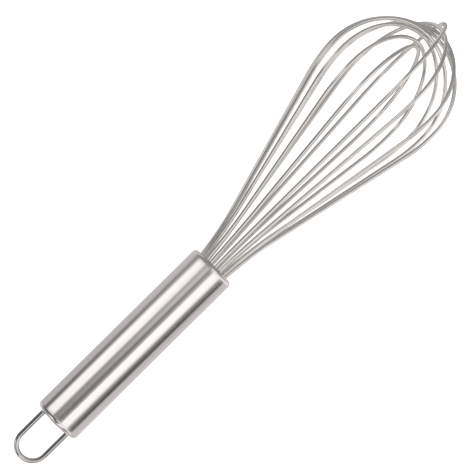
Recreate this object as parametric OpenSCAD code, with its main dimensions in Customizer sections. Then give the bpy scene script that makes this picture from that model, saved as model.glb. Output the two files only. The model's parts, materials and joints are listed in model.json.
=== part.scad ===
// Balloon whisk: eight round wire loops gathered in a closed tube handle with a wire hanging loop.
// Millimetres. The whisk lies at rest on the plane z = 0, on the rear edge of its handle and on its
// two lowest wires. +X runs along it to the tip of the balloon and +Z is up. The origin is the
// centre of the footprint, on the plane it rests on.

/* [Handle] */
// outside diameter of the handle tube
handle_d = 25; // [24:0.1:27]
// length of the handle tube
handle_length = 108.5; // [95:0.5:120]
// wall of the handle tube
tube_wall = 0.8; // [0.6:0.1:0.8]
// outer radius of the tube's two rolled-in edges
edge_round = 2.2; // [1.8:0.1:2.2]
// height of the domed cap over the rear edge of the tube
cap_rise = 0.8; // [0.8:0.1:2]

/* [Hanging loop] */
// diameter of the hanging loop's wire
hanger_wire_d = 2.6; // [2:0.1:2.8]
// distance between the hanging loop's two legs, centre to centre
hanger_leg_spacing = 16; // [14:0.1:16.4]
// how far the hanging loop reaches past the handle
hanger_reach = 25; // [20:1:40]
// angle of the hanging loop's plane about the handle, from straight up
hanger_angle = 101; // [0:1:180]

/* [Whisk wires] */
// diameter of the wire of the eight loops
wire_d = 2; // [1.6:0.1:2]
// radius of the ring of wires where the handle grips them
clamp_radius = 7.95; // [7.9:0.01:8]
// angle at which the wires leave the grip
leave_angle = 4.5; // [4:0.1:5]
// radius of the long outward bend above the mouth
flare_radius = 185; // [160:5:200]
// radius of the inward bend that leads up to the belly
belly_bend = 75; // [70:1:90]
// height of a loop's crown over its belly, as a share of its belly radius
crown_ratio = 1.03; // [1.01:0.01:1.06]
// radius of the very top of a loop, as a share of its belly radius
top_ratio = 0.7; // [0.5:0.05:0.85]
// sideways lean of the whole balloon from the handle's axis
lean = 1.95; // [0:0.05:2]

/* [Stack of crowns] */
// height of the lowest loop's crown above the mouth of the handle
first_crown = 148.1; // [140:0.1:155]
// rise from one crossing wire to the next
stack_step = 2.12; // [2.12:0.02:2.4]
// extra rise between loops 2 and 3
gap_after_2 = 2.2; // [0:0.1:3]
// extra rise under loop 8, whose crown stands clear of the others as a small eye
gap_under_8 = 0.8; // [0.5:0.1:3]

/* [Loop angles about the axis, from straight up] */
// plane of loop 1, the lowest in the stack
angle_1 = 165.6; // [164.6:0.1:166.4]
// plane of loop 2
angle_2 = 146.4; // [146:0.1:147]
// plane of loop 3
angle_3 = 129.1; // [128.8:0.1:129.6]
// plane of loop 4
angle_4 = 112.4; // [111.4:0.1:112.6]
// plane of loop 5
angle_5 = 77.2; // [75:0.1:79]
// plane of loop 6
angle_6 = 52.9; // [51:0.1:54]
// plane of loop 7
angle_7 = 30.2; // [28:0.1:32]
// plane of loop 8, the highest in the stack
angle_8 = 7.8; // [6:0.1:9]

/* [Widest radius of each loop] */
// belly radius of loop 1
belly_1 = 34; // [33:0.1:35]
// belly radius of loop 2
belly_2 = 34.8; // [33:0.1:36]
// belly radius of loop 3
belly_3 = 35.5; // [34:0.1:36]
// belly radius of loop 4
belly_4 = 34.8; // [33:0.1:36]
// belly radius of loop 5
belly_5 = 35.1; // [34:0.1:37]
// belly radius of loop 6
belly_6 = 34.7; // [33:0.1:36]
// belly radius of loop 7
belly_7 = 34.2; // [33:0.1:36]
// belly radius of loop 8
belly_8 = 34.9; // [33:0.1:36]

/* [Hidden] */
$fn = 48;

// handle
tube_r = handle_d / 2;
bore_r = tube_r - tube_wall;
mouth_r = tube_r - edge_round;
inner_round = edge_round - tube_wall;
slip = 0.04;
overlap = 1;

// pieces that grip the wires, as depths below the mouth
wire_r = wire_d / 2;
seal_face = edge_round + 0.1;
seal_back = 7.9;
bend_depth = 3;
wire_room = 0.1;
grip_front = 8;
grip_back = 34;
wire_end = 33.9;

// rear end
hanger_r = hanger_wire_d / 2;
leg_offset = hanger_leg_spacing / 2;
cap_r = mouth_r - 0.1;
cap_rim = 0.15;
cap_flange = 1;
cap_flange_front = handle_length - edge_round - 0.05;
rear_seal_length = 8.9;
leg_overrun = 2;
dome_r = (cap_r * cap_r + cap_rise * cap_rise) / (2 * cap_rise);
hanger_centre = handle_length + hanger_reach - hanger_r - leg_offset;

// loops, from the lowest crown to the highest
crown_3 = first_crown + 2 * stack_step + gap_after_2;
crowns = [
    first_crown,
    first_crown + stack_step,
    crown_3,
    crown_3 + stack_step,
    crown_3 + 2 * stack_step,
    crown_3 + 3 * stack_step,
    crown_3 + 4 * stack_step,
    crown_3 + 5 * stack_step + gap_under_8
];
angles = [angle_1, angle_2, angle_3, angle_4, angle_5, angle_6, angle_7, angle_8];
bellies = [belly_1, belly_2, belly_3, belly_4, belly_5, belly_6, belly_7, belly_8];

// the two lowest loops and the highest stand a little straighter than the rest, and loop 7 leans more
lean_straight = lean - 0.1;
lean_7 = lean + 0.7;
leans = [lean_straight, lean_straight, lean, lean, lean, lean, lean_7, lean_straight];

// a joint ball stands this much over the wire, so that the bends meet inside it
joint_grow = 0.05;
joint_r = wire_r + joint_grow;

// resting pose: the common tangent of the handle's rear edge and of the lowest wire's belly bend
low_cos = cos(angle_8);
low_r = belly_bend / low_cos;
low_z = crowns[7] - crown_ratio * belly_8;
rear_z = edge_round - handle_length;
rise_to_belly = belly_8 * low_cos - low_r - mouth_r;
run_to_belly = low_z - rear_z;
rest_pitch = atan2(rise_to_belly, run_to_belly)
    + asin((low_r + wire_r - edge_round) / norm([rise_to_belly, run_to_belly]));
rest_height = edge_round - rear_z * sin(rest_pitch) + mouth_r * cos(rest_pitch);

// centre of the footprint
tip_x = (crowns[7] + wire_r) * cos(rest_pitch);
hanger_end = handle_length + hanger_reach;
rest_x = (hanger_end * cos(rest_pitch) - tip_x) / 2;
rest_y = -sin(lean) * (low_z - bend_depth);

// from the handle's own frame, mouth at the origin and +Z to the tip, to the resting pose
module at_rest() {
    translate([rest_x, rest_y, rest_height])
        rotate([0, 90 - rest_pitch, 0])
            rotate([0, 0, 180])
                children();
}

// disc from one depth below the mouth to a greater one
module plug(r, front, back) {
    translate([0, 0, -back])
        cylinder(r = r, h = back - front);
}

// profile of a tube's edge rolled in towards the axis, drawn at its outer corner
module rolled_edge() {
    intersection() {
        difference() {
            circle(r = edge_round);
            circle(r = inner_round);
        }
        square(edge_round);
    }
}

module tube_half() {
    translate([bore_r, edge_round - handle_length])
        square([tube_wall, handle_length - 2 * edge_round]);
    translate([mouth_r, -edge_round])
        rolled_edge();
    translate([mouth_r, edge_round - handle_length])
        mirror([0, 1])
            rolled_edge();
}

// part of a wire bent about a centre in the loop's plane, from one angle to another
module bend(x, z, radius, from, to, r) {
    translate([x, z, 0])
        rotate([0, 0, from])
            rotate_extrude(angle = to - from)
                translate([radius, 0])
                    circle(r = r);
}

// straight wire from a point in the loop's plane, at an angle from the axis
module straight(x, z, angle, length, r) {
    translate([x, z, 0])
        rotate([0, 0, -angle])
            rotate([-90, 0, 0])
                cylinder(r = r, h = length);
}

module joint(x, z) {
    translate([x, z, 0])
        sphere(r = joint_r);
}

// one side of a loop, from the grip to the start of its top bend
module loop_side(belly, crown) {
    flare_x = clamp_radius + flare_radius * cos(leave_angle);
    flare_z = -bend_depth - flare_radius * sin(leave_angle);
    belly_z = crown - crown_ratio * belly;
    belly_x = belly - belly_bend;
    span_x = belly_x - flare_x;
    span_z = belly_z - flare_z;
    bends = flare_radius + belly_bend;
    line = sqrt(span_x * span_x + span_z * span_z - bends * bends);
    slope = atan2(span_x, span_z) + atan2(bends, line);
    top_r = top_ratio * belly;
    top_z = crown - top_r;
    side_r = (belly * belly + pow(top_z - belly_z, 2) - top_r * top_r) / (2 * (belly - top_r));
    top_angle = atan2(top_z - belly_z, side_r - belly);
    line_x = flare_x - flare_radius * cos(slope);
    line_z = flare_z + flare_radius * sin(slope);
    bend(flare_x, flare_z, flare_radius, 180 - slope, 180 - leave_angle, wire_r);
    joint(line_x, line_z);
    straight(line_x, line_z, slope, line, wire_r);
    joint(belly_x + belly_bend * cos(slope), belly_z - belly_bend * sin(slope));
    bend(belly_x, belly_z, belly_bend, -slope, 0, wire_r);
    joint(belly, belly_z);
    bend(belly - side_r, belly_z, side_r, 0, top_angle, wire_r);
    joint(top_r * cos(top_angle), top_z + top_r * sin(top_angle));
}

module loop_top(belly, crown) {
    top_r = top_ratio * belly;
    rise = crown_ratio * belly - top_r;
    side_r = (belly * belly + rise * rise - top_r * top_r) / (2 * (belly - top_r));
    top_angle = atan2(rise, side_r - belly);
    bend(0, crown - top_r, top_r, top_angle, 180 - top_angle, wire_r);
}

// stands a loop drawn flat in its plane, about the axis
module stand(angle) {
    rotate([0, 0, angle])
        rotate([90, 0, 0])
            children();
}

// tilts a loop sideways about the place where it leaves the grip
module tilt(angle) {
    translate([0, 0, -bend_depth])
        rotate([angle, 0, 0])
            translate([0, 0, bend_depth])
                children();
}

module wire_loop(i) {
    tilt(leans[i])
        stand(angles[i]) {
            loop_side(bellies[i], crowns[i]);
            mirror([1, 0, 0])
                loop_side(bellies[i], crowns[i]);
            loop_top(bellies[i], crowns[i]);
        }
    for (side = [-1, 1])
        stand(angles[i]) {
            joint(side * clamp_radius, -bend_depth);
            straight(side * clamp_radius, -wire_end, 0, wire_end - bend_depth, wire_r);
        }
}

// room for one loop's two wires through the seal, wide enough for the start of their outward bends
module wire_holes(i) {
    rotate([0, 0, angles[i]])
        for (side = [-1, 1])
            translate([side * clamp_radius, 0, 0])
                plug(wire_r + wire_room, 0, grip_front);
}

module handle_tube() {
    color("silver")
        at_rest()
            rotate_extrude()
                tube_half();
}

module mouth_seal() {
    color("dimgray")
        at_rest()
            difference() {
                plug(bore_r - slip, seal_face, seal_back);
                for (i = [0 : 7])
                    wire_holes(i);
            }
}

module wire_core() {
    color("gray")
        at_rest()
            plug(clamp_radius - wire_r - slip, grip_front, grip_back);
}

module wire_ferrule() {
    color("gray")
        at_rest()
            difference() {
                plug(bore_r - slip, grip_front, grip_back);
                plug(clamp_radius + wire_r + slip, grip_front - overlap, grip_back + overlap);
            }
}

module leg_holes() {
    rotate([0, 0, hanger_angle])
        for (side = [-1, 1])
            translate([side * leg_offset, 0, 0])
                plug(hanger_r + slip, 0, hanger_end);
}

module rear_cap() {
    color("silver")
        at_rest()
            difference() {
                union() {
                    plug(bore_r - slip, cap_flange_front - cap_flange, cap_flange_front);
                    intersection() {
                        plug(cap_r, cap_flange_front - cap_flange / 2, handle_length + cap_rise + overlap);
                        translate([0, 0, dome_r - handle_length - cap_rise - cap_rim])
                            sphere(r = dome_r, $fn = 192);
                    }
                }
                leg_holes();
            }
}

module rear_seal() {
    back = cap_flange_front - cap_flange - slip;
    color("dimgray")
        at_rest()
            difference() {
                plug(bore_r - slip, back - rear_seal_length, back);
                leg_holes();
            }
}

module hanging_loop() {
    leg_end = cap_flange_front - cap_flange - rear_seal_length - leg_overrun;
    color("silver")
        at_rest()
            stand(hanger_angle) {
                bend(0, -hanger_centre, leg_offset, -180, 0, hanger_r);
                for (side = [-1, 1]) {
                    translate([side * leg_offset, -hanger_centre, 0])
                        sphere(r = hanger_r + joint_grow);
                    straight(side * leg_offset, -hanger_centre, 0, hanger_centre - leg_end, hanger_r);
                }
            }
}

module wire_loop_1() { color("gainsboro") at_rest() wire_loop(0); }
module wire_loop_2() { color("gainsboro") at_rest() wire_loop(1); }
module wire_loop_3() { color("gainsboro") at_rest() wire_loop(2); }
module wire_loop_4() { color("gainsboro") at_rest() wire_loop(3); }
module wire_loop_5() { color("gainsboro") at_rest() wire_loop(4); }
module wire_loop_6() { color("gainsboro") at_rest() wire_loop(5); }
module wire_loop_7() { color("gainsboro") at_rest() wire_loop(6); }
module wire_loop_8() { color("gainsboro") at_rest() wire_loop(7); }

handle_tube();
mouth_seal();
wire_core();
wire_ferrule();
rear_cap();
rear_seal();
hanging_loop();
wire_loop_1();
wire_loop_2();
wire_loop_3();
wire_loop_4();
wire_loop_5();
wire_loop_6();
wire_loop_7();
wire_loop_8();
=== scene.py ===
"""Balloon whisk: the looks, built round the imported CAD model.

Lengths are in millimetres in the handle's own frame (mouth of the handle at the origin, +Z to the tip
of the balloon, +X up, +Y to the right of the handle) and are turned into metres in the row frame once,
when a mesh is made.
"""

import json
import math

import bpy
from mathutils import Matrix, Vector

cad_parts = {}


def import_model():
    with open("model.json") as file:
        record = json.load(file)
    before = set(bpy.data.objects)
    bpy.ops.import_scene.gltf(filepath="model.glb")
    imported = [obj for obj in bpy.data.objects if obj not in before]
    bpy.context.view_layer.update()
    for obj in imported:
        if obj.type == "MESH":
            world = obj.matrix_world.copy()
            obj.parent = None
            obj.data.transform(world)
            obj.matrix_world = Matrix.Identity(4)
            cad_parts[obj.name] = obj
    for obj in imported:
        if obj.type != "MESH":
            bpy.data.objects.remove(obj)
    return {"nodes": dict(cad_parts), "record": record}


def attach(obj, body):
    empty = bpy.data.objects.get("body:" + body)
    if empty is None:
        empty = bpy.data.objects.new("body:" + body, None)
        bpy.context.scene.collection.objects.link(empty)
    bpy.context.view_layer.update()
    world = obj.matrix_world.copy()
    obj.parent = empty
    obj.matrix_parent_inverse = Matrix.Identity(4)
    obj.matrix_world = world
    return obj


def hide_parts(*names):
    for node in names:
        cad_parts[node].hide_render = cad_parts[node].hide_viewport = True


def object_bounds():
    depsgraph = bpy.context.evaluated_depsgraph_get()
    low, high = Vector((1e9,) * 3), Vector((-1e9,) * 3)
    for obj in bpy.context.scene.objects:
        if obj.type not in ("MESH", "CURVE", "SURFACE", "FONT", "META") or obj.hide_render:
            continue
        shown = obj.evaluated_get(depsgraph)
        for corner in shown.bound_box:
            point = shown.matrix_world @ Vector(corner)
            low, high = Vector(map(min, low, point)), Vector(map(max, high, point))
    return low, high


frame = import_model()
cad_low, cad_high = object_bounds()

MM = 0.001

# handle
TUBE_R = 12.5
TUBE_WALL = 0.8
HANDLE_LENGTH = 108.5
EDGE_ROUND = 2.2
MOUTH_R = TUBE_R - EDGE_ROUND
BORE_R = TUBE_R - TUBE_WALL
LIP_ROUND = 0.22
TUBE_SIDES = 192
WALL_STEPS = 48

# hanging loop
HANGER_R = 1.3
HANGER_HALF = 8.0
HANGER_REACH = 25.0
HANGER_ANGLE = 101.0
HANGER_LEG_END = 94.35
HANGER_CENTRE = HANDLE_LENGTH + HANGER_REACH - HANGER_R - HANGER_HALF
HANGER_SIDES = 32

# whisk wires
WIRE_R = 1.0
CLAMP_RADIUS = 7.95
LEAVE_ANGLE = 4.5
FLARE_RADIUS = 185.0
BELLY_BEND = 75.0
CROWN_RATIO = 1.03
TOP_RATIO = 0.7
BEND_DEPTH = 3.0
WIRE_END = 33.9
LEAN = 1.95
FIRST_CROWN = 148.1
STACK_STEP = 2.12
GAP_AFTER_2 = 2.2
GAP_UNDER_8 = 0.8
WIRE_SIDES = 24

# the longest stretch between two points of a centre line
BEND_STEP = 1.1
TIGHT_STEP = 0.88
END_STEP = 3.0
HANGER_LEG_STEP = 1.5
HANGER_BEND_STEP = 0.35

# each loop's plane about the axis from straight up, its belly radius, and how much its lean differs
LOOPS = [
    (165.6, 34.0, -0.1),
    (146.4, 34.8, -0.1),
    (129.1, 35.5, 0.0),
    (112.4, 34.8, 0.0),
    (77.2, 35.1, 0.0),
    (52.9, 34.7, 0.0),
    (30.2, 34.2, 0.7),
    (7.8, 34.9, -0.1),
]

# materials: the darker and the lighter tone, then the least and the most roughness
HANDLE_TONES = (0.74, 0.712, 0.708), (0.82, 0.79, 0.788)
HANDLE_TARNISH = (0.80, 0.755, 0.75)
HANDLE_ROUGHNESS = 0.09, 0.18
# the hanging loop's tones are darker than the whisk wires': painted shade for the dark reflections along the
# loop; the change between its two tones is random
HANGER_TONES_WITH_PAINTED_SHADE = (0.52, 0.51, 0.50), (0.62, 0.605, 0.59)
HANGER_ROUGHNESS = 0.06, 0.11
WIRE_TONES = (0.71, 0.695, 0.675), (0.80, 0.785, 0.76)
WIRE_ROUGHNESS = 0.09, 0.19
GRIP_TONES = (0.46, 0.45, 0.44), (0.60, 0.59, 0.57)
GRIP_ROUGHNESS = 0.32, 0.48
# the resin is near black: partly its own colour, partly painted shade for the dark gap in the mouth's recess
RESIN_AND_PAINTED_SHADE_TONES = (0.035, 0.035, 0.034), (0.075, 0.073, 0.07)
RESIN_ROUGHNESS = 0.5, 0.72
NOISE_ROUGHNESS = 0.55

# paper floor with a wall round it, in metres
FLOOR_FLAT = 2.0
FLOOR_BEND = 1.5
FLOOR_WALL = 4.0
FLOOR_SIDES = 96
FLOOR_GAP = 0.0002
FLOOR_TONE = 0.5
FLOOR_GLOW = 0.85

# black card beside the hanging loop, in millimetres and degrees about the handle's axis
FLAG_RADIUS = 45.0
FLAG_LOW = -100
FLAG_HIGH = -3
FLAG_FRONT = -112.6
FLAG_BACK = -147.0
FLAG_TONE = 0.14

# tint and strength of the light
WARM_GREEN = 0.98
WARM_BLUE = 0.98
BRIGHTNESS = 2.0

# grey levels by angle about the handle, from straight up to the right: the room, the part of it behind
# the handle, the part past the balloon and the end that the balloon's tip faces
ROOM = [
    (-180, 0.17), (-165, 0.20), (-145, 0.36), (-116, 0.36), (-96, 0.15), (-5, 0.18), (16, 0.50), (95, 0.54),
    (145, 0.48), (165, 0.20), (180, 0.17),
]
BEHIND = [
    (-180, 0.38), (-122, 0.36), (-104, 0.10), (-42, 0.11), (-14, 0.40), (40, 0.48), (90, 0.50), (108, 0.30),
    (140, 0.34), (180, 0.38),
]
AHEAD = [
    (-180, 0.17), (-165, 0.20), (-125, 0.34), (-88, 0.15), (-20, 0.17), (25, 0.38), (60, 0.22), (110, 0.20),
    (140, 0.40), (165, 0.20), (180, 0.17),
]
END = [(-180, 0.16), (180, 0.16)]

# the strips and flags that the handle mirrors, near its rear end and near its mouth
REAR = [
    (-180, 0.17), (-165, 0.28), (-104, 0.28), (-93, 0.08), (-82, 0.09), (-67, 0.66), (-37, 0.66),
    (-26, 0.12), (-8, 0.12), (0, 0.06), (11, 0.08), (16, 0.12), (24, 0.66), (50, 0.64), (66, 0.11),
    (86, 0.02), (97, 0.32), (165, 0.37), (180, 0.17),
]
MOUTH = [
    (-180, 0.17), (-165, 0.33), (-104, 0.32), (-96, 0.18), (-80, 0.22), (-67, 0.66), (-37, 0.66),
    (-25, 0.28), (-6, 0.46), (2, 0.10), (8, 0.19), (16, 0.26), (24, 0.66), (54, 0.64), (69, 0.15),
    (89, 0.02), (101, 0.32), (165, 0.37), (180, 0.17),
]

# how far forward along the handle a direction points where other tones begin to take over and have taken
# over, and those tones
ZONES = [
    (-0.13, -0.17, BEHIND),
    (0.35, 0.7, AHEAD),
    (0.8, 0.93, END),
    (-0.5, -0.6, REAR),
]

# the same for the strips that the handle mirrors: where they change from rear to mouth, and their two fades
STRIP_CHANGE = -0.083, 0.033
STRIP_FRONT = 0.05, 0.10
STRIP_BACK = -0.135, -0.12

# camera: its tilt and roll, its distance and target in metres and millimetres, its lens
VIEW_TILT = math.radians(3.0)
VIEW_ROLL = math.radians(44.67)
VIEW_DISTANCE = 0.937
VIEW_ALONG = 18.45
VIEW_SIDE = -2.08
LENS = 144.3
SENSOR = 36


def handle_matrix():
    """From the handle's frame in millimetres to the row frame in metres, by the record's grip mount."""
    grip = next(m for m in frame["record"]["mounts"] if m["name"] == "handle_grip")
    axis = -Vector(grip["axis"]).normalized()
    right = Vector((0.0, -1.0, 0.0))
    up = right.cross(axis)
    mouth = Vector(grip["pos_m"]) + axis * (HANDLE_LENGTH / 2 * MM)
    place = Matrix((up, right, axis)).transposed().to_4x4()
    place.translation = mouth
    return place @ Matrix.Scale(MM, 4)


HANDLE = handle_matrix()
AXIS = (HANDLE.to_3x3() @ Vector((0, 0, 1))).normalized()
UP = (HANDLE.to_3x3() @ Vector((1, 0, 0))).normalized()
RIGHT = (HANDLE.to_3x3() @ Vector((0, 1, 0))).normalized()
PITCH = math.asin(AXIS.z)


# ---------------------------------------------------------------- centre lines

def arc(cx, cz, radius, start, end, step):
    """Points (x, z, heading) along an arc in a loop's plane, its first point left out. Angles in radians."""
    count = max(2, math.ceil(abs(end - start) * radius / step))
    turn = math.copysign(math.pi / 2, end - start)
    made = []
    for i in range(1, count + 1):
        a = start + (end - start) * i / count
        made.append((cx + radius * math.cos(a), cz + radius * math.sin(a), a + turn))
    return made


def line(x0, z0, x1, z1, step):
    """Points (x, z, heading) along a straight stretch, its first point left out."""
    count = max(1, math.ceil(math.hypot(x1 - x0, z1 - z0) / step))
    heading = math.atan2(z1 - z0, x1 - x0)
    return [(x0 + (x1 - x0) * i / count, z0 + (z1 - z0) * i / count, heading) for i in range(1, count + 1)]


def loop_side(belly, crown):
    """One side of a loop, from where it leaves the grip to the middle of its crown."""
    leave = math.radians(LEAVE_ANGLE)
    flare_x = CLAMP_RADIUS + FLARE_RADIUS * math.cos(leave)
    flare_z = -BEND_DEPTH - FLARE_RADIUS * math.sin(leave)
    belly_x = belly - BELLY_BEND
    belly_z = crown - CROWN_RATIO * belly
    span_x, span_z = belly_x - flare_x, belly_z - flare_z
    bends = FLARE_RADIUS + BELLY_BEND
    straight = math.sqrt(span_x ** 2 + span_z ** 2 - bends ** 2)
    slope = math.atan2(span_x, span_z) + math.atan2(bends, straight)
    top_r = TOP_RATIO * belly
    top_z = crown - top_r
    side_r = (belly ** 2 + (top_z - belly_z) ** 2 - top_r ** 2) / (2 * (belly - top_r))
    top_angle = math.atan2(top_z - belly_z, side_r - belly)
    points = [(CLAMP_RADIUS, -BEND_DEPTH, math.pi / 2 - leave)]
    points += arc(flare_x, flare_z, FLARE_RADIUS, math.pi - leave, math.pi - slope, BEND_STEP)
    x, z, _ = points[-1]
    bend_x = belly_x + BELLY_BEND * math.cos(slope)
    bend_z = belly_z - BELLY_BEND * math.sin(slope)
    points += line(x, z, bend_x, bend_z, BEND_STEP)
    points += arc(belly_x, belly_z, BELLY_BEND, -slope, 0.0, BEND_STEP)
    points += arc(belly - side_r, belly_z, side_r, 0.0, top_angle, TIGHT_STEP)
    points += arc(0.0, top_z, top_r, top_angle, math.pi / 2, TIGHT_STEP)
    return points


def there_and_back(side):
    """A whole symmetrical path from one side of it, which ends on the axis."""
    return side + [(-x, z, -heading) for x, z, heading in reversed(side[:-1])]


def stand(angle):
    """Stands a path drawn flat in its plane, about the axis."""
    return Matrix.Rotation(math.radians(angle), 4, "Z")


def tilt(angle):
    """Tilts a loop sideways about the place where it leaves the grip."""
    pivot = Matrix.Translation((0, 0, -BEND_DEPTH))
    return pivot @ Matrix.Rotation(math.radians(angle), 4, "X") @ pivot.inverted()


def placed(path, matrix):
    """(point, direction, normal of the path's plane) in the handle's frame."""
    turn = matrix.to_3x3()
    across = turn @ Vector((0, -1, 0))
    return [
        (matrix @ Vector((x, 0, z)), turn @ Vector((math.cos(h), 0, math.sin(h))), across)
        for x, z, h in path
    ]


def wire_path(number):
    """The centre line of one whisk loop, both of its gripped ends included."""
    angle, belly, lean_more = LOOPS[number]
    crown = FIRST_CROWN + number * STACK_STEP
    if number >= 2:
        crown += GAP_AFTER_2
    if number == 7:
        crown += GAP_UNDER_8
    leg = [(CLAMP_RADIUS, -WIRE_END, math.pi / 2)]
    leg += line(CLAMP_RADIUS, -WIRE_END, CLAMP_RADIUS, -BEND_DEPTH, END_STEP)[:-1]
    back = [(-x, z, -h) for x, z, h in reversed(leg)]
    loop = placed(there_and_back(loop_side(belly, crown)), tilt(LEAN + lean_more) @ stand(angle))
    return placed(leg, stand(angle)) + loop + placed(back, stand(angle))


def hanger_path():
    """The centre line of the hanging loop, both of its hidden legs included."""
    leg = [(HANGER_HALF, -HANGER_LEG_END, -math.pi / 2)]
    leg += line(HANGER_HALF, -HANGER_LEG_END, HANGER_HALF, -HANGER_CENTRE, HANGER_LEG_STEP)
    leg += arc(0.0, -HANGER_CENTRE, HANGER_HALF, 0.0, -math.pi / 2, HANGER_BEND_STEP)
    return placed(there_and_back(leg), stand(HANGER_ANGLE))


# ---------------------------------------------------------------- meshes

def make_piece(name, shape, material, node_name):
    """A smooth mesh from points in the handle's frame, which rides on the body and replaces a CAD node."""
    points, faces, uvs = shape
    mesh = bpy.data.meshes.new(name)
    mesh.from_pydata([HANDLE @ Vector(p) for p in points], [], faces)
    layer = mesh.uv_layers.new(name="UVMap")
    flat = [value for face in uvs for uv in face for value in uv]
    layer.data.foreach_set("uv", flat)
    mesh.polygons.foreach_set("use_smooth", [True] * len(faces))
    mesh.update()
    piece = bpy.data.objects.new(name, mesh)
    bpy.context.scene.collection.objects.link(piece)
    mesh.materials.append(material)
    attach(piece, "root")
    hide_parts(node_name)


def sweep(path, radius, sides):
    """Points, faces and UVs of a round wire along a path, with a flat cap at each end."""
    points, faces, uvs = [], [], []
    lengths = [0.0]
    for i, (centre, direction, across) in enumerate(path):
        outward = across.cross(direction).normalized()
        if i:
            lengths.append(lengths[-1] + (centre - path[i - 1][0]).length)
        for j in range(sides):
            a = 2 * math.pi * j / sides
            points.append(centre + (outward * math.cos(a) + across * math.sin(a)) * radius)
    around = 2 * math.pi * radius
    for i in range(len(path) - 1):
        v0, v1 = lengths[i] / around, lengths[i + 1] / around
        for j in range(sides):
            k = (j + 1) % sides
            faces.append((i * sides + j, i * sides + k, (i + 1) * sides + k, (i + 1) * sides + j))
            u0, u1 = j / sides, (j + 1) / sides
            uvs.append(((u0, v0), (u1, v0), (u1, v1), (u0, v1)))
    last = (len(path) - 1) * sides
    for start, order, v in ((0, -1, 0.0), (last, 1, lengths[-1] / around)):
        ring = list(range(start, start + sides))[::order]
        faces.append(tuple(ring))
        uvs.append(tuple(((p - start) / sides, v) for p in ring))
    return points, faces, uvs


def lathe(profile, segments, closed):
    """Points, faces and UVs of a profile of (radius, z) points turned about the axis."""
    points, faces, uvs = [], [], []
    first = []
    on_axis = [r == 0 for r, _ in profile]
    for (r, z), central in zip(profile, on_axis):
        first.append(len(points))
        if central:
            points.append((0.0, 0.0, z))
            continue
        for j in range(segments):
            a = 2 * math.pi * j / segments
            points.append((r * math.cos(a), r * math.sin(a), z))
    lengths = [0.0]
    for (r0, z0), (r1, z1) in zip(profile, profile[1:] + profile[:1]):
        lengths.append(lengths[-1] + math.hypot(r1 - r0, z1 - z0))
    around = 2 * math.pi * max(r for r, _ in profile)
    count = len(profile) if closed else len(profile) - 1
    for i in range(count):
        n = (i + 1) % len(profile)
        v0, v1 = lengths[i] / around, lengths[i + 1] / around
        for j in range(segments):
            k = (j + 1) % segments
            u0, u1 = j / segments, (j + 1) / segments
            if on_axis[i]:
                faces.append((first[i], first[n] + k, first[n] + j))
                uvs.append((((u0 + u1) / 2, v0), (u1, v1), (u0, v1)))
            else:
                faces.append((first[i] + j, first[i] + k, first[n] + k, first[n] + j))
                uvs.append(((u0, v0), (u1, v0), (u1, v1), (u0, v1)))
    return points, faces, uvs


def bow(cr, cz, radius, start, end, count):
    """Points (r, z) along an arc of a profile, in degrees, both ends included."""
    made = []
    for i in range(count + 1):
        a = math.radians(start + (end - start) * i / count)
        made.append((cr + radius * math.cos(a), cz + radius * math.sin(a)))
    return made


def rolled_edge():
    """Profile of the tube's edge at the mouth, from the outer wall round its lip to the bore."""
    inner = EDGE_ROUND - TUBE_WALL
    lip = LIP_ROUND
    edge = bow(MOUTH_R, -EDGE_ROUND, EDGE_ROUND, 0, 90 - math.degrees(lip / EDGE_ROUND), 14)
    edge += bow(MOUTH_R + lip, -lip, lip, 100, 180, 5)
    edge += bow(MOUTH_R + lip, -TUBE_WALL + lip, lip, 180, 260, 5)
    edge += bow(MOUTH_R, -EDGE_ROUND, inner, 80, 0, 8)
    return edge


def tube_profile():
    """Closed profile of the handle tube: the mouth's edge, the bore, the rear edge and the outer wall."""
    edge = rolled_edge()
    rear = [(r, -HANDLE_LENGTH - z) for r, z in reversed(edge)]
    wall_front, wall_back = -EDGE_ROUND, EDGE_ROUND - HANDLE_LENGTH
    steps = [wall_front + (wall_back - wall_front) * i / WALL_STEPS for i in range(1, WALL_STEPS)]
    bore = [(BORE_R, z) for z in steps]
    outer = [(TUBE_R, z) for z in reversed(steps)]
    return edge + bore + rear + outer


# ---------------------------------------------------------------- materials

def shader(name, base, metallic, roughness):
    """A material with its Principled shader, and the tree to add nodes to."""
    material = bpy.data.materials.new(name)
    material.use_nodes = True
    tree = material.node_tree
    surface = tree.nodes["Principled BSDF"]
    surface.inputs["Base Color"].default_value = (*base, 1)
    surface.inputs["Metallic"].default_value = metallic
    surface.inputs["Roughness"].default_value = roughness
    return material, tree, surface


def add(tree, kind, **settings):
    """A new node with some of its settings."""
    made = tree.nodes.new(kind)
    for key, value in settings.items():
        setattr(made, key, value)
    return made


def math_node(tree, operation, *values):
    """The result of a sum, product or function of numbers and sockets."""
    made = add(tree, "ShaderNodeMath", operation=operation)
    for socket, value in zip(made.inputs, values):
        if isinstance(value, (int, float)):
            socket.default_value = value
        else:
            tree.links.new(value, socket)
    return made.outputs[0]


def blend(tree, first, share, second):
    """A sum of two values, of which the first has a given share."""
    parts = math_node(tree, "MULTIPLY", first, share), math_node(tree, "MULTIPLY", second, 1 - share)
    return math_node(tree, "ADD", *parts)


def stretched(tree, coordinates, scale):
    """Coordinates scaled differently along each direction."""
    mapping = add(tree, "ShaderNodeMapping")
    mapping.inputs["Scale"].default_value = scale
    tree.links.new(coordinates, mapping.inputs["Vector"])
    return mapping.outputs["Vector"]


def noise(tree, coordinates, detail):
    """Smooth noise from 0 to 1, with a number of finer layers."""
    made = add(tree, "ShaderNodeTexNoise")
    made.inputs["Scale"].default_value = 1.0
    made.inputs["Detail"].default_value = detail
    made.inputs["Roughness"].default_value = NOISE_ROUGHNESS
    tree.links.new(coordinates, made.inputs["Vector"])
    return made.outputs["Fac"]


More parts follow.
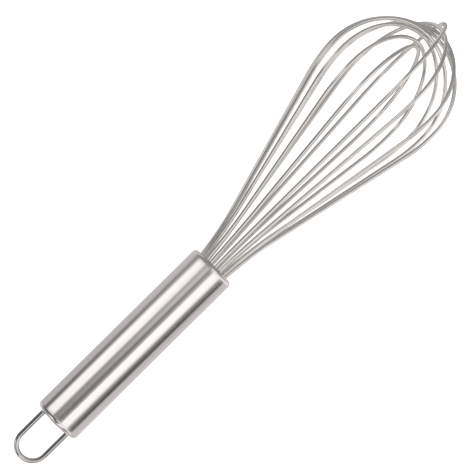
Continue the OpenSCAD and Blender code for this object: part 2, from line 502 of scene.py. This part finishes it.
def span(tree, value, low, high, out_low, out_high):
    """A value's range from low to high, mapped to another range and held at its ends."""
    made = add(tree, "ShaderNodeMapRange")
    tree.links.new(value, made.inputs["Value"])
    limits = {"From Min": low, "From Max": high, "To Min": out_low, "To Max": out_high}
    for key, number in limits.items():
        made.inputs[key].default_value = number
    return made.outputs["Result"]


def mixed(tree, factor, first, second):
    """A colour between two, each given as a colour or as a socket."""
    made = add(tree, "ShaderNodeMix", data_type="RGBA")
    tree.links.new(factor, made.inputs["Factor"])
    for socket, value in ((made.inputs[6], first), (made.inputs[7], second)):
        if isinstance(value, tuple):
            socket.default_value = (*value, 1)
        else:
            tree.links.new(value, socket)
    return made.outputs[2]


def bumped(tree, surface, height, distance, strength):
    """Gives a surface fine relief from a height value."""
    bump = add(tree, "ShaderNodeBump")
    bump.inputs["Distance"].default_value = distance
    bump.inputs["Strength"].default_value = strength
    tree.links.new(height, bump.inputs["Height"])
    tree.links.new(bump.outputs["Normal"], surface.inputs["Normal"])


def axis_coordinates(tree):
    """Object coordinates turned so that X runs along the handle."""
    where = add(tree, "ShaderNodeTexCoord")
    mapping = add(tree, "ShaderNodeMapping")
    mapping.inputs["Rotation"].default_value = (0, PITCH, 0)
    tree.links.new(where.outputs["Object"], mapping.inputs["Vector"])
    return mapping.outputs["Vector"]


def handle_steel():
    """Satin stainless tube: fine polishing lines along it, faint lines round it, and slight tarnish."""
    material, tree, surface = shader("handle_steel", (0.78, 0.765, 0.76), 1.0, 0.2)
    place = axis_coordinates(tree)
    fine = noise(tree, stretched(tree, place, (60, 5200, 5200)), 3)
    coarse = noise(tree, stretched(tree, place, (14, 900, 900)), 2)
    rings = noise(tree, stretched(tree, place, (5200, 45, 45)), 2)
    cloud = noise(tree, stretched(tree, place, (60, 160, 160)), 3)
    tone = mixed(tree, span(tree, coarse, 0.3, 0.7, 0, 1), *HANDLE_TONES)
    tone = mixed(tree, span(tree, cloud, 0.35, 0.75, 0, 0.35), tone, HANDLE_TARNISH)
    tree.links.new(tone, surface.inputs["Base Color"])
    lines = blend(tree, fine, 0.6, rings)
    tree.links.new(span(tree, lines, 0.3, 0.7, *HANDLE_ROUGHNESS), surface.inputs["Roughness"])
    bumped(tree, surface, lines, 0.00002, 0.35)
    return material


def wire_coordinates(tree):
    """Coordinates round and along a wire, without a seam, from its UVs."""
    uv = add(tree, "ShaderNodeUVMap", uv_map="UVMap")
    split = add(tree, "ShaderNodeSeparateXYZ")
    tree.links.new(uv.outputs["UV"], split.inputs[0])
    turn = math_node(tree, "MULTIPLY", split.outputs["X"], 2 * math.pi)
    joined = add(tree, "ShaderNodeCombineXYZ")
    tree.links.new(math_node(tree, "COSINE", turn), joined.inputs["X"])
    tree.links.new(math_node(tree, "SINE", turn), joined.inputs["Y"])
    tree.links.new(split.outputs["Y"], joined.inputs["Z"])
    return joined.outputs[0]


def wire_steel(name, colours, roughness):
    """Drawn stainless wire: die lines along it, and slow changes of tone and polish."""
    material, tree, surface = shader(name, colours[1], 1.0, sum(roughness) / 2)
    place = wire_coordinates(tree)
    die = noise(tree, stretched(tree, place, (7, 7, 0.12)), 4)
    slow = noise(tree, stretched(tree, place, (0.8, 0.8, 0.35)), 3)
    pits = noise(tree, stretched(tree, place, (9, 9, 9)), 2)
    tone = mixed(tree, span(tree, slow, 0.3, 0.7, 0, 1), *colours)
    tree.links.new(tone, surface.inputs["Base Color"])
    polish = blend(tree, die, 0.7, pits)
    tree.links.new(span(tree, polish, 0.35, 0.65, *roughness), surface.inputs["Roughness"])
    bumped(tree, surface, polish, 0.00001, 0.3)
    return material


def grip_steel():
    """Turned steel inside the handle: tool lines round it and a dull tone."""
    material, tree, surface = shader("grip_steel", (0.52, 0.51, 0.50), 1.0, 0.4)
    rings = noise(tree, stretched(tree, axis_coordinates(tree), (2500, 20, 20)), 3)
    tree.links.new(mixed(tree, rings, *GRIP_TONES), surface.inputs["Base Color"])
    tree.links.new(span(tree, rings, 0.3, 0.7, *GRIP_ROUGHNESS), surface.inputs["Roughness"])
    bumped(tree, surface, rings, 0.00003, 0.5)
    return material


def seal_resin():
    """Matt cast resin, near black: partly its own colour and partly painted shade for the recessed mouth.
    Mottled, with a slightly uneven face.
    """
    material, tree, surface = shader("seal_resin", (0.05, 0.05, 0.048), 0.0, 0.6)
    place = axis_coordinates(tree)
    mottle = noise(tree, stretched(tree, place, (700, 700, 700)), 4)
    fine = noise(tree, stretched(tree, place, (4000, 4000, 4000)), 2)
    tree.links.new(mixed(tree, mottle, *RESIN_AND_PAINTED_SHADE_TONES), surface.inputs["Base Color"])
    tree.links.new(span(tree, fine, 0.3, 0.7, *RESIN_ROUGHNESS), surface.inputs["Roughness"])
    bumped(tree, surface, mottle, 0.0002, 0.6)
    return material


# ---------------------------------------------------------------- pieces

def build_whisk():
    """The seen wires and the tube as new meshes, and materials for the CAD pieces that are kept."""
    steel, resin, grip = handle_steel(), seal_resin(), grip_steel()
    # the hanging loop's wire gets darker tones than the whisk wires, as painted shade for its dark
    # reflections
    hanger = wire_steel("hanger_wire", HANGER_TONES_WITH_PAINTED_SHADE, HANGER_ROUGHNESS)
    wire = wire_steel("whisk_wire", WIRE_TONES, WIRE_ROUGHNESS)
    for number in range(len(LOOPS)):
        name = f"wire_loop_{number + 1}"
        make_piece(f"{name}_drawn", sweep(wire_path(number), WIRE_R, WIRE_SIDES), wire, name)
    loop = sweep(hanger_path(), HANGER_R, HANGER_SIDES)
    make_piece("hanging_loop_drawn", loop, hanger, "hanging_loop")
    tube = lathe(tube_profile(), TUBE_SIDES, True)
    make_piece("handle_tube_turned", tube, steel, "handle_tube")
    # the seals' near-black resin is partly painted shade for the recessed mouth
    kept = {"rear_cap": steel, "mouth_seal": resin, "rear_seal": resin}
    kept |= {"wire_core": grip, "wire_ferrule": grip}
    for node_name, material in kept.items():
        frame["nodes"][node_name].material_slots[0].material = material


# ---------------------------------------------------------------- floor, light and camera

def staged(name, points, faces, material_name, tone):
    """A matt sheet of the set, which isn't part of the whisk, and its shader. Its points are in metres."""
    mesh = bpy.data.meshes.new(name)
    mesh.from_pydata(points, [], faces)
    mesh.polygons.foreach_set("use_smooth", [True] * len(faces))
    sheet = bpy.data.objects.new(name, mesh)
    bpy.context.scene.collection.objects.link(sheet)
    material, _, surface = shader(material_name, (tone, tone, tone), 0.0, 1.0)
    surface.inputs["Specular IOR Level"].default_value = 0.0
    mesh.materials.append(material)
    return sheet, surface


def floor():
    """White paper that lies flat under the whisk and curves up into a wall all round it."""
    profile = [(0.0, 0.0)] + bow(FLOOR_FLAT, FLOOR_BEND, FLOOR_BEND, -90, 0, 16)
    profile += [(FLOOR_FLAT + FLOOR_BEND, FLOOR_WALL)]
    points, faces, _ = lathe(profile, FLOOR_SIDES, False)
    paper, surface = staged("floor", points, faces, "floor_paper", FLOOR_TONE)
    surface.inputs["Emission Color"].default_value = (1, 1, 1, 1)
    surface.inputs["Emission Strength"].default_value = FLOOR_GLOW
    paper.location.z = cad_low.z - FLOOR_GAP
    paper.visible_glossy = False


def flag():
    """A small black card, curved about the handle's axis beside the hanging loop, that the loop mirrors."""
    edge = bow(0.0, 0.0, FLAG_RADIUS, FLAG_LOW, FLAG_HIGH, 24)
    points = [HANDLE @ Vector((x, y, z)) for z in (FLAG_FRONT, FLAG_BACK) for x, y in edge]
    count = len(edge)
    faces = [(i, i + 1, count + i + 1, count + i) for i in range(count - 1)]
    card, _ = staged("flag", points, faces, "flag_card", FLAG_TONE)
    card.visible_camera = False
    card.visible_diffuse = False
    card.visible_shadow = False


def tones(tree, place, stops):
    """Grey levels of the surroundings at angles in degrees, as a ramp."""
    ramp = add(tree, "ShaderNodeValToRGB")
    tree.links.new(place, ramp.inputs["Fac"])
    elements = ramp.color_ramp.elements
    while len(elements) < len(stops):
        elements.new(0.5)
    for element, (degrees, _) in zip(elements, stops):
        element.position = degrees / 360 + 0.5
    for element, (_, level) in zip(elements, stops):
        element.color = (level, level * WARM_GREEN, level * WARM_BLUE, 1)
    return ramp.outputs["Color"]


def along(tree, direction, unit):
    """How far a direction points along a unit vector."""
    made = add(tree, "ShaderNodeVectorMath", operation="DOT_PRODUCT")
    tree.links.new(direction, made.inputs[0])
    made.inputs[1].default_value = unit
    return made.outputs["Value"]


def world():
    """A soft studio. Square to the handle stand two long softboxes between dark flags. The room round them
    is paler on the handle's right than on its left, and darker straight below and past the balloon."""
    made = bpy.data.worlds.new("studio")
    bpy.context.scene.world = made
    made.use_nodes = True
    tree = made.node_tree
    where = add(tree, "ShaderNodeTexCoord").outputs["Generated"]
    forward = along(tree, where, AXIS)
    angle = math_node(tree, "ARCTAN2", along(tree, where, RIGHT), along(tree, where, UP))
    place = span(tree, angle, -math.pi, math.pi, 0, 1)
    seen = tones(tree, place, ROOM)
    for start, end, stops in ZONES:
        seen = mixed(tree, span(tree, forward, start, end, 0, 1), seen, tones(tree, place, stops))
    change = span(tree, forward, *STRIP_CHANGE, 0, 1)
    strips = mixed(tree, change, tones(tree, place, REAR), tones(tree, place, MOUTH))
    front = span(tree, forward, *STRIP_FRONT, 1, 0)
    back = span(tree, forward, *STRIP_BACK, 0, 1)
    seen = mixed(tree, math_node(tree, "MULTIPLY", front, back), seen, strips)
    surface = tree.nodes["Background"]
    tree.links.new(seen, surface.inputs["Color"])
    surface.inputs["Strength"].default_value = BRIGHTNESS


def camera():
    """Looks down on the whisk from above, with the handle at the lower left of the picture."""
    data = bpy.data.cameras.new("camera")
    data.sensor_width = SENSOR
    data.lens = LENS
    data.clip_start, data.clip_end = 0.01, 20
    cam = bpy.data.objects.new("camera", data)
    bpy.context.scene.collection.objects.link(cam)
    back = UP * math.cos(VIEW_TILT) - AXIS * math.sin(VIEW_TILT)
    tip = UP * math.sin(VIEW_TILT) + AXIS * math.cos(VIEW_TILT)
    right = tip * math.cos(VIEW_ROLL) + RIGHT * math.sin(VIEW_ROLL)
    up = tip * math.sin(VIEW_ROLL) - RIGHT * math.cos(VIEW_ROLL)
    target = HANDLE @ Vector((0, VIEW_SIDE, VIEW_ALONG))
    turn = Matrix((right, up, back)).transposed().to_4x4()
    cam.matrix_world = Matrix.Translation(target + back * VIEW_DISTANCE) @ turn
    bpy.context.scene.camera = cam


build_whisk()
floor()
flag()
world()
camera()
bpy.context.scene.view_settings.view_transform = "Standard"
